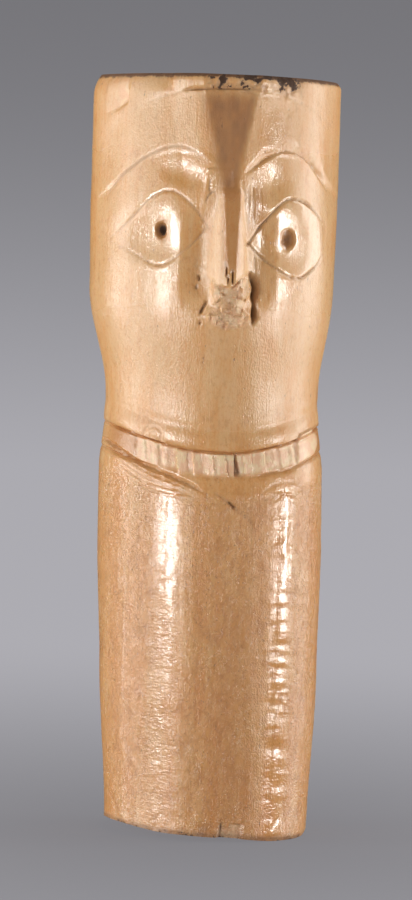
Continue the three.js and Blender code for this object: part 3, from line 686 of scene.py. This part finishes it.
grime_and_painted_shade = np.maximum(grime_and_painted_shade, 0.5 * broken_edge * fade(-0.6, 0.2, bits))
rim_dark = fade(99.3, 99.95, z + 0.35 * bone_noise(skin, (1.2, 1.2, 1), 98))
grime_and_painted_shade = np.maximum(grime_and_painted_shade, rim_dark)
char = np.maximum(char, 0.3 * rim_dark * front)
# The lowest millimetre is darker towards the bottom edge.
base_dark = (1 - fade(0.3, 1.0, level)) * (0.8 + 0.5 * bone_noise(skin, (1.5, 1.5, 1), 99))
grime_and_painted_shade = np.maximum(grime_and_painted_shade, 0.9 * base_dark)
char = np.maximum(char, 0.62 * (1 - fade(0.1, 0.8, level)) * fade(-0.4, 0.3, bits) * front)
beside_chip = 0.6 * hump(x + 0.2, 1.7) * fade(0.2, 0.8, bits) * (1 - fade(1.0, 2.4, level)) * front
grime_and_painted_shade = np.maximum(grime_and_painted_shade, beside_chip)

# The figure as one closed skin: up the outside, over the crown, down the marrow canal and back under
# the base. A flat grid is bent onto it row by row, and its seams are then merged.
SAW_SINK = 0.22
MERGE_DISTANCE = 1e-7
SOFT_EDGE = math.radians(38)
for thing in list(bpy.context.selected_objects):
    thing.select_set(False)
bpy.ops.mesh.primitive_grid_add(x_subdivisions=columns, y_subdivisions=rows, size=1, calc_uvs=True)
figurine = bpy.context.active_object
figurine.name = "Carved_bone_figurine"

shape = (skin_rows, columns)
outward = np.stack([cosine, sine, 0 * z], -1)
surface = np.stack([axis_x(z), 0 * z, z], -1) + outward * (radius + relief)[:, None]
surface[:, 1] -= beak
outer = surface.reshape(shape + (3,))


def canal_ring(height):
    """One ring of the marrow canal's wall, a little uneven."""
    ring = np.stack([
        axis_x(height) + CANAL_HALF_WIDTH * np.cos(angles),
        CANAL_CENTRE_Y + CANAL_HALF_DEPTH * np.sin(angles),
        np.full(columns, float(height)),
    ], -1)
    swell = 1 + 0.05 * bone_noise(ring, (2.5, 2.5, 12), 101) * min(1, height, HEIGHT - height)
    ring[:, :2] = (ring[:, :2] - (0, CANAL_CENTRE_Y)) * swell[:, None] + (0, CANAL_CENTRE_Y)
    return ring


def sawn_end(from_ring, to_ring, steps, sign, seed):
    """The rings of a sawn end between two rims, faintly ribbed by the saw and never above its rim."""
    share = (np.arange(1, steps) / steps)[:, None, None]
    rings = from_ring + (to_ring - from_ring) * share
    flat = rings.reshape(-1, 3)
    ribs = 0.5 + 0.3 * bone_noise(flat, (9, 0.5, 9), seed) + 0.2 * bone_noise(flat, 0.7, seed + 1)
    sink = ribs * 4 * (share * (1 - share)).repeat(columns, 1).ravel()
    rings[..., 2] -= sign * SAW_SINK * sink.reshape(rings.shape[:2])
    return rings


crown_rings = sawn_end(outer[-1], canal_ring(HEIGHT), CROWN_ROWS, 1, 102)
canal_rings = np.stack([canal_ring(h) for h in np.linspace(HEIGHT, 0, CANAL_ROWS + 1)])
base_rings = sawn_end(canal_ring(0), outer[0], BASE_ROWS, -1, 104)
sleeve = np.concatenate([outer, crown_rings, canal_rings, base_rings, outer[:1]])
sleeve = np.concatenate([sleeve, sleeve[:, :1]], axis=1)


def over_sleeve(mask, on_crown, in_canal, on_base):
    """A skin mask carried on over the sawn ends and the canal."""
    skin_part = np.clip(mask, 0, 1).reshape(shape)
    crown_part = np.full((CROWN_ROWS - 1, columns), float(on_crown))
    canal_part = np.full((CANAL_ROWS + 1, columns), float(in_canal))
    base_part = np.full((BASE_ROWS - 1, columns), float(on_base))
    whole_mask = np.concatenate([skin_part, crown_part, canal_part, base_part, skin_part[:1]])
    return np.concatenate([whole_mask, whole_mask[:, :1]], axis=1)


mesh = figurine.data
flat_places = np.empty(len(mesh.vertices) * 3)
mesh.vertices.foreach_get("co", flat_places)
flat_places = flat_places.reshape(-1, 3)
grid_column = np.rint((flat_places[:, 0] + 0.5) * columns).astype(int)
grid_row = np.rint((flat_places[:, 1] + 0.5) * rows).astype(int)
places = sleeve[grid_row, grid_column] * MILLIMETRE
places[:, :2] -= (places.max(0) + places.min(0))[:2] / 2
mesh.vertices.foreach_set("co", places.ravel())

MASKS = {
    "grime_and_painted_shade": over_sleeve(grime_and_painted_shade, 0.35, 0.8, 0.4),
    "fresh": over_sleeve(fresh, 0.1, 0.0, 0.15),
    "char": over_sleeve(char, 0.25, 0.3, 0.0),
    "stain_and_painted_shade": over_sleeve(stain_and_painted_shade, 0.3, 0.6, 0.3),
    "rough": over_sleeve(rough, 0.9, 1.0, 0.9),
    "ribbed": over_sleeve(ribbed, 0.0, 0.0, 0.0),
    "gloss": over_sleeve(gloss, 0.1, 0.0, 0.1),
}
for name, mask in MASKS.items():
    layer = mesh.attributes.new(name, "FLOAT", "POINT")
    layer.data.foreach_set("value", mask[grid_row, grid_column].astype(np.float32))

bpy.ops.object.mode_set(mode="EDIT")
bpy.ops.mesh.select_all(action="SELECT")
bpy.ops.mesh.remove_doubles(threshold=MERGE_DISTANCE)
bpy.ops.object.mode_set(mode="OBJECT")
bpy.ops.object.shade_smooth_by_angle(angle=SOFT_EDGE)

# The finish: ivory to honey-coloured bone, fibrous along its length, polished by handling.
# Old dirt, fresh breaks, black crumbs and rust-brown stains come from the masks of the carving; the dirt and
# stain masks also carry painted shade.
bone = bpy.data.materials.new("polished_bone")
bone.use_nodes = True
tree = bone.node_tree
tree.nodes.clear()


def socket_of(node, name, value):
    """Sets a node's input to a plain value, or links another node's output into it."""
    if isinstance(value, bpy.types.NodeSocket):
        tree.links.new(value, node.inputs[name])
    else:
        node.inputs[name].default_value = value


def math_of(operation, first, second=0.0):
    node = tree.nodes.new("ShaderNodeMath")
    node.operation = operation
    socket_of(node, 0, first)
    socket_of(node, 1, second)
    return node.outputs[0]


def between(value, low, high):
    """0 at low and 1 at high, smoothly."""
    node = tree.nodes.new("ShaderNodeMapRange")
    node.interpolation_type = "SMOOTHSTEP"
    socket_of(node, "Value", value)
    socket_of(node, "From Min", low)
    socket_of(node, "From Max", high)
    return node.outputs["Result"]


def blend_colours(share, first, second):
    node = tree.nodes.new("ShaderNodeMix")
    node.data_type = "RGBA"
    socket_of(node, 0, share)
    socket_of(node, 6, first)
    socket_of(node, 7, second)
    return node.outputs[2]


def mask_named(name):
    node = tree.nodes.new("ShaderNodeAttribute")
    node.attribute_name = name
    return node.outputs["Fac"]


object_place = tree.nodes.new("ShaderNodeTexCoord").outputs["Object"]


def grain(per_mm, detail=2.0, roughness=0.5, twist=0.0, distortion=0.0):
    """Noise with so many grains a millimetre across, deep and up."""
    mapping = tree.nodes.new("ShaderNodeMapping")
    socket_of(mapping, "Vector", object_place)
    socket_of(mapping, "Scale", [count / MILLIMETRE for count in per_mm])
    socket_of(mapping, "Rotation", (0, twist, 0))
    node = tree.nodes.new("ShaderNodeTexNoise")
    socket_of(node, "Vector", mapping.outputs[0])
    socket_of(node, "Scale", 1.0)
    socket_of(node, "Detail", detail)
    socket_of(node, "Roughness", roughness)
    socket_of(node, "Distortion", distortion)
    return node.outputs[0]


IVORY = (0.80, 0.485, 0.225, 1)
PEACH = (0.76, 0.385, 0.135, 1)
HONEY = (0.68, 0.27, 0.065, 1)
FRESH_BONE = (0.97, 0.72, 0.43, 1)
PINKISH_BONE = (0.92, 0.56, 0.33, 1)
DIRT_AND_PAINTED_SHADE_BROWN = (0.145, 0.055, 0.014, 1)
BLACK_CRUST = (0.07, 0.028, 0.009, 1)
RUST_AND_PAINTED_SHADE_BROWN = (0.50, 0.20, 0.052, 1)
BUMP_DEPTH = 0.05
UNPOLISHED_ROUGHNESS = 0.34
POLISHED_BY = 0.26
BONE_IOR = 1.54
POLISH_COAT = {"weight": 0.7, "roughness": 0.15, "ior": 1.62}
GLOW_THROUGH = {"weight": 0.12, "radius": (1.0, 0.45, 0.2), "scale": 1.2}

separate = tree.nodes.new("ShaderNodeSeparateXYZ")
socket_of(separate, "Vector", object_place)
up_the_figure = math_of("DIVIDE", separate.outputs["Z"], MILLIMETRE)
fibres = grain((3.2, 3.2, 0.16), 3.0, 0.55)
broad_streaks = grain((0.5, 0.5, 0.035), 2.0, 0.5)
blotches = grain((0.16, 0.16, 0.11), 3.0, 0.55)
flecks = grain((1.5, 1.5, 0.9), 2.0, 0.6)
pits = grain((2.6, 2.6, 1.1), 1.0, 0.4)

body_share = math_of("SUBTRACT", 1.0, between(up_the_figure, 38.0, 62.0))
warmth = math_of("ADD", math_of("MULTIPLY", body_share, 0.34), 0.16)
for noise, strength in ((blotches, 0.9), (broad_streaks, 0.8), (fibres, 0.7)):
    warmth = math_of("ADD", warmth, math_of("MULTIPLY", math_of("SUBTRACT", noise, 0.5), strength))
colour = blend_colours(between(warmth, 0.0, 0.5), IVORY, PEACH)
colour = blend_colours(between(warmth, 0.35, 1.0), colour, HONEY)
colour = blend_colours(math_of("MULTIPLY", between(flecks, 0.52, 0.72), 0.3), colour, RUST_AND_PAINTED_SHADE_BROWN)
stipple = grain((3.4, 3.4, 2.6), 2.0, 0.7)
colour = blend_colours(math_of("MULTIPLY", between(stipple, 0.5, 0.75), 0.45), colour, HONEY)
colour = blend_colours(math_of("MULTIPLY", between(stipple, 0.5, 0.28), 0.4), colour, IVORY)
mottling = between(grain((0.55, 0.55, 0.4), 3.0, 0.6, distortion=1.0), 0.5, 0.72)
fine_mottling = between(grain((1.7, 1.7, 1.0), 3.0, 0.65, distortion=1.2), 0.5, 0.68)
specks = between(grain((4.0, 4.0, 2.8), 2.0, 0.6), 0.64, 0.72)
for spots, strength, tone in (
    (mottling, 0.5, RUST_AND_PAINTED_SHADE_BROWN), (fine_mottling, 0.42, RUST_AND_PAINTED_SHADE_BROWN), (specks, 0.5, DIRT_AND_PAINTED_SHADE_BROWN),
):
    spots = math_of("MULTIPLY", spots, body_share)
    colour = blend_colours(math_of("MULTIPLY", spots, strength), colour, tone)
# Rust-brown from the stain mask, which is painted shade on the forehead's wedge, the nose ridge, beside the
# bridge, at the neck's right and on the right forehead.
colour = blend_colours(math_of("MULTIPLY", mask_named("stain_and_painted_shade"), 0.78), colour, RUST_AND_PAINTED_SHADE_BROWN)
pitted = math_of("MULTIPLY", between(pits, 0.74, 0.82), 0.5)
colour = blend_colours(pitted, colour, DIRT_AND_PAINTED_SHADE_BROWN)
broken = blend_colours(between(grain((0.9, 0.9, 0.7), 2.0, 0.6), 0.36, 0.58), FRESH_BONE, PINKISH_BONE)
colour = blend_colours(math_of("MULTIPLY", mask_named("fresh"), 0.9), colour, broken)
# Dark brown from the dirt mask, which is painted shade in the forehead's wedge, the hollows beside the mouth,
# the neck cuts and the collar's hollow.
colour = blend_colours(math_of("MULTIPLY", mask_named("grime_and_painted_shade"), 0.8), colour, DIRT_AND_PAINTED_SHADE_BROWN)
rim_line = between(math_of("ADD", up_the_figure, flecks), 99.95, 100.2)
colour = blend_colours(math_of("MULTIPLY", rim_line, 0.85), colour, DIRT_AND_PAINTED_SHADE_BROWN)
crumbly = math_of("MULTIPLY", math_of("SUBTRACT", grain((3.0, 3.0, 2.6), 3.0, 0.65), 0.5), 1.5)
crust = between(math_of("ADD", mask_named("char"), crumbly), 0.4, 0.66)
colour = blend_colours(crust, colour, BLACK_CRUST)

speckle = grain((4.6, 4.6, 3.4), 2.0, 0.6)
scratches = grain((7.0, 7.0, 0.35), 1.0, 0.5, twist=0.05)
cross_ribs = grain((1.0, 1.0, 2.8), 1.0, 0.5, twist=-0.05, distortion=0.4)
wrinkles = grain((1.5, 1.5, 1.2), 2.0, 0.55, distortion=2.5)
fine_creases = math_of("ABSOLUTE", math_of("SUBTRACT", grain((1.3, 1.3, 1.1), 2.0, 0.5, distortion=1.5), 0.5))
fine_creases = between(fine_creases, 0.0, 0.07)
height = math_of("ADD", math_of("MULTIPLY", speckle, 1.15), math_of("MULTIPLY", scratches, 0.8))
height = math_of("ADD", height, math_of("MULTIPLY", fibres, 0.4))
height = math_of("SUBTRACT", height, math_of("MULTIPLY", pitted, 1.2))
height = math_of("MULTIPLY", height, math_of("ADD", 0.35, math_of("MULTIPLY", mask_named("rough"), 1.2)))
ribs = math_of("MULTIPLY", mask_named("ribbed"), cross_ribs)
height = math_of("ADD", height, math_of("MULTIPLY", ribs, 1.7))
leather = math_of("ADD", math_of("MULTIPLY", wrinkles, 2.7), math_of("MULTIPLY", fine_creases, 1.5))
leather_share = math_of("MAXIMUM", math_of("SUBTRACT", mask_named("rough"), 0.3), 0.0)
height = math_of("ADD", height, math_of("MULTIPLY", leather_share, leather))
bump = tree.nodes.new("ShaderNodeBump")
socket_of(bump, "Strength", 1.0)
socket_of(bump, "Distance", BUMP_DEPTH * MILLIMETRE)
socket_of(bump, "Height", height)

dull = math_of("MULTIPLY", mask_named("rough"), 0.1)
for name, strength in (("grime_and_painted_shade", 0.35), ("char", 0.55), ("fresh", 0.1)):
    dull = math_of("ADD", dull, math_of("MULTIPLY", mask_named(name), strength))
dull = math_of("ADD", dull, math_of("MULTIPLY", math_of("SUBTRACT", blotches, 0.5), 0.12))
shader = tree.nodes.new("ShaderNodeBsdfPrincipled")
socket_of(shader, "Base Color", colour)
dull = math_of("ADD", dull, UNPOLISHED_ROUGHNESS)
dull = math_of("SUBTRACT", dull, math_of("MULTIPLY", mask_named("gloss"), POLISHED_BY))
socket_of(shader, "Roughness", dull)
socket_of(shader, "Normal", bump.outputs["Normal"])
socket_of(shader, "IOR", BONE_IOR)
socket_of(shader, "Specular IOR Level", 1.0)
polish = math_of("MULTIPLY", mask_named("char"), 1.2)
for name, strength in (("grime_and_painted_shade", 0.9), ("fresh", 0.45)):
    polish = math_of("ADD", polish, math_of("MULTIPLY", mask_named(name), strength))
polish = math_of("MAXIMUM", math_of("SUBTRACT", 1.0, polish), 0.0)
polish = math_of("MULTIPLY", polish, POLISH_COAT["weight"])
polish = math_of("MULTIPLY", polish, math_of("MULTIPLY", mask_named("gloss"), mask_named("gloss")))
socket_of(shader, "Coat Weight", polish)
socket_of(shader, "Coat Roughness", POLISH_COAT["roughness"])
socket_of(shader, "Coat IOR", POLISH_COAT["ior"])
socket_of(shader, "Subsurface Weight", GLOW_THROUGH["weight"])
socket_of(shader, "Subsurface Radius", GLOW_THROUGH["radius"])
socket_of(shader, "Subsurface Scale", GLOW_THROUGH["scale"] * MILLIMETRE)
output = tree.nodes.new("ShaderNodeOutputMaterial")
tree.links.new(shader.outputs[0], output.inputs["Surface"])
mesh.materials.clear()
mesh.materials.append(bone)
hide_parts("bone_figurine")
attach(figurine, "root")

# The ground and the wall: one sheet of pale grey paper, level under the figure and curved up all round, not
# part of the figure.
# Its glow is painted light: a painted shadow round the figure, brightest a little way out, darker up the
# wall.
TENT_FLAT = 0.9
TENT_BEND = 0.6
TENT_TOP = 2.0
BEND_STEPS = 20
ROUND_STEPS = 96
PAPER_PAINTED_SHADE = 0.158
PAPER_PAINTED_LIGHT = 0.395
PAPER_TINT = {"green": 0.985, "blue": 1.06}
bpy.ops.object.select_all(action="DESELECT")
bpy.ops.mesh.primitive_circle_add(vertices=ROUND_STEPS, radius=TENT_FLAT, fill_type="NGON")
paper = bpy.context.active_object
paper.name = "Paper_sweep"
profile = [(TENT_FLAT, 0.0)]
profile += [(
    TENT_FLAT + TENT_BEND * math.sin(0.5 * math.pi * i / BEND_STEPS),
    TENT_BEND * (1 - math.cos(0.5 * math.pi * i / BEND_STEPS)),
) for i in range(1, BEND_STEPS + 1)]
profile.append((TENT_FLAT + TENT_BEND, TENT_TOP))
bpy.ops.object.mode_set(mode="EDIT")
bpy.ops.mesh.select_mode(type="EDGE")
bpy.ops.mesh.select_all(action="SELECT")
bpy.ops.mesh.region_to_loop()
for (out, up), (next_out, next_up) in zip(profile, profile[1:]):
    bpy.ops.mesh.extrude_region_move(TRANSFORM_OT_translate={"value": (0, 0, next_up - up)})
    bpy.ops.transform.resize(value=(next_out / out, next_out / out, 1), center_override=(0, 0, 0))
bpy.ops.object.mode_set(mode="OBJECT")
bpy.ops.object.shade_smooth()
paper_finish = bpy.data.materials.new("grey_paper_painted_light")
paper_finish.use_nodes = True
tree = paper_finish.node_tree
paper_shader = tree.nodes["Principled BSDF"]
paper_place = tree.nodes.new("ShaderNodeSeparateXYZ")
socket_of(paper_place, "Vector", tree.nodes.new("ShaderNodeTexCoord").outputs["Object"])
square = math_of("MULTIPLY", paper_place.outputs["X"], paper_place.outputs["X"])
square = math_of("ADD", square, math_of("MULTIPLY", paper_place.outputs["Y"], paper_place.outputs["Y"]))
along_paper = math_of("ADD", math_of("SQRT", square), paper_place.outputs["Z"])
# Painted light: dim close round the figure as a painted shadow, full a little way out, fading up the wall.
fall_off = math_of("SUBTRACT", 1.0, between(along_paper, 0.88, 1.64))
glow = math_of("MULTIPLY", between(along_paper, -0.08, 0.24), fall_off)
glow = math_of("ADD", PAPER_PAINTED_SHADE, math_of("MULTIPLY", glow, PAPER_PAINTED_LIGHT - PAPER_PAINTED_SHADE))
socket_of(paper_shader, "Emission Strength", 1.0)
glow_colour = tree.nodes.new("ShaderNodeCombineColor")
socket_of(glow_colour, "Red", glow)
socket_of(glow_colour, "Green", math_of("MULTIPLY", glow, PAPER_TINT["green"]))
socket_of(glow_colour, "Blue", math_of("MULTIPLY", glow, PAPER_TINT["blue"]))
socket_of(paper_shader, "Emission Color", glow_colour.outputs[0])
socket_of(paper_shader, "Base Color", (0.08, 0.08, 0.085, 1))
socket_of(paper_shader, "Roughness", 1.0)
socket_of(paper_shader, "Specular IOR Level", 0.0)
paper.data.materials.append(paper_finish)
paper.visible_glossy = False
paper.visible_shadow = False

# The camera stands a little above the figure's middle and to its right hand, close, and rolled a little.
CAMERA_DISTANCE = 0.446
CAMERA_PITCH = math.radians(2.7)
CAMERA_YAW = math.radians(7)
CAMERA_ROLL = math.radians(1.8)
PICTURE_HEIGHT_AT_FIGURE = 0.12008
SENSOR = 36.0
AIM = Vector((0.000565, 0.00362, 0.05))
AIM_OFF_CENTRE = (0.667 * MILLIMETRE, 0.76 * MILLIMETRE)
towards = Vector((
    -math.sin(CAMERA_YAW) * math.cos(CAMERA_PITCH),
    -math.cos(CAMERA_YAW) * math.cos(CAMERA_PITCH),
    math.sin(CAMERA_PITCH),
))
level_right = Vector((math.cos(CAMERA_YAW), -math.sin(CAMERA_YAW), 0))
level_up = towards.cross(level_right)
camera_right = level_right * math.cos(CAMERA_ROLL) + level_up * math.sin(CAMERA_ROLL)
camera_up = level_up * math.cos(CAMERA_ROLL) - level_right * math.sin(CAMERA_ROLL)
bpy.ops.object.camera_add()
camera = bpy.context.active_object
camera.data.sensor_width = SENSOR
camera.data.lens = SENSOR * CAMERA_DISTANCE / PICTURE_HEIGHT_AT_FIGURE
camera.data.clip_start = 0.01
place = AIM + towards * CAMERA_DISTANCE - camera_right * AIM_OFF_CENTRE[0] + camera_up * AIM_OFF_CENTRE[1]
turn = Matrix((camera_right, camera_up, towards)).transposed().to_4x4()
camera.matrix_world = Matrix.Translation(place) @ turn
bpy.context.scene.camera = camera

# Soft studio light, slightly warm: on each side a narrow bright strip, a wide faint one and a tall box,
# and one more narrow strip far to the left. Each is placed by its direction from the figure's front,
# and glow is how bright its face is.
LIGHT_DISTANCE = 0.7
LAMP_COLOUR = (1.0, 0.98, 0.955)
ROOM_COLOUR = (0.95, 0.97, 1.0, 1)
ROOM_GLOW = 0.06
LIGHTS = [
    {"name": "Left_strip", "azimuth": -52, "wide": 8, "low": -11, "high": 7, "glow": 22},
    {"name": "Left_soft_strip", "azimuth": -54, "wide": 26, "low": -24, "high": 24, "glow": 0.9},
    {"name": "Left_far_strip", "azimuth": -98, "wide": 6, "low": -16, "high": 2, "glow": 10},
    {"name": "Left_box", "azimuth": -88, "wide": 24, "low": -45, "high": 45, "glow": 3.0},
    {"name": "Right_strip", "azimuth": 54, "wide": 8, "low": -10, "high": 7, "glow": 22},
    {"name": "Right_soft_strip", "azimuth": 62, "wide": 24, "low": -16, "high": 24, "glow": 0.3},
    {"name": "Right_box", "azimuth": 93, "wide": 26, "low": -45, "high": 45, "glow": 3.8},
]
for box in LIGHTS:
    azimuth = math.radians(box["azimuth"])
    rise = math.radians((box["low"] + box["high"]) / 2)
    bpy.ops.object.light_add(type="AREA", location=(
        LIGHT_DISTANCE * math.cos(rise) * math.sin(azimuth),
        -LIGHT_DISTANCE * math.cos(rise) * math.cos(azimuth),
        HEIGHT / 2 * MILLIMETRE + LIGHT_DISTANCE * math.sin(rise),
    ), rotation=(math.radians(90) - rise, 0, azimuth))
    lamp = bpy.context.active_object
    lamp.name = box["name"]
    lamp.data.shape = "RECTANGLE"
    lamp.data.size = LIGHT_DISTANCE * math.radians(box["wide"])
    lamp.data.size_y = LIGHT_DISTANCE * math.radians(box["high"] - box["low"])
    lamp.data.energy = box["glow"] * math.pi * lamp.data.size * lamp.data.size_y
    lamp.data.color = LAMP_COLOUR
    lamp.visible_camera = False
world = bpy.data.worlds.new("Studio_grey")
world.use_nodes = True
world.node_tree.nodes["Background"].inputs["Color"].default_value = ROOM_COLOUR
world.node_tree.nodes["Background"].inputs["Strength"].default_value = ROOM_GLOW
bpy.context.scene.world = world
bpy.context.scene.view_settings.view_transform = "Standard"
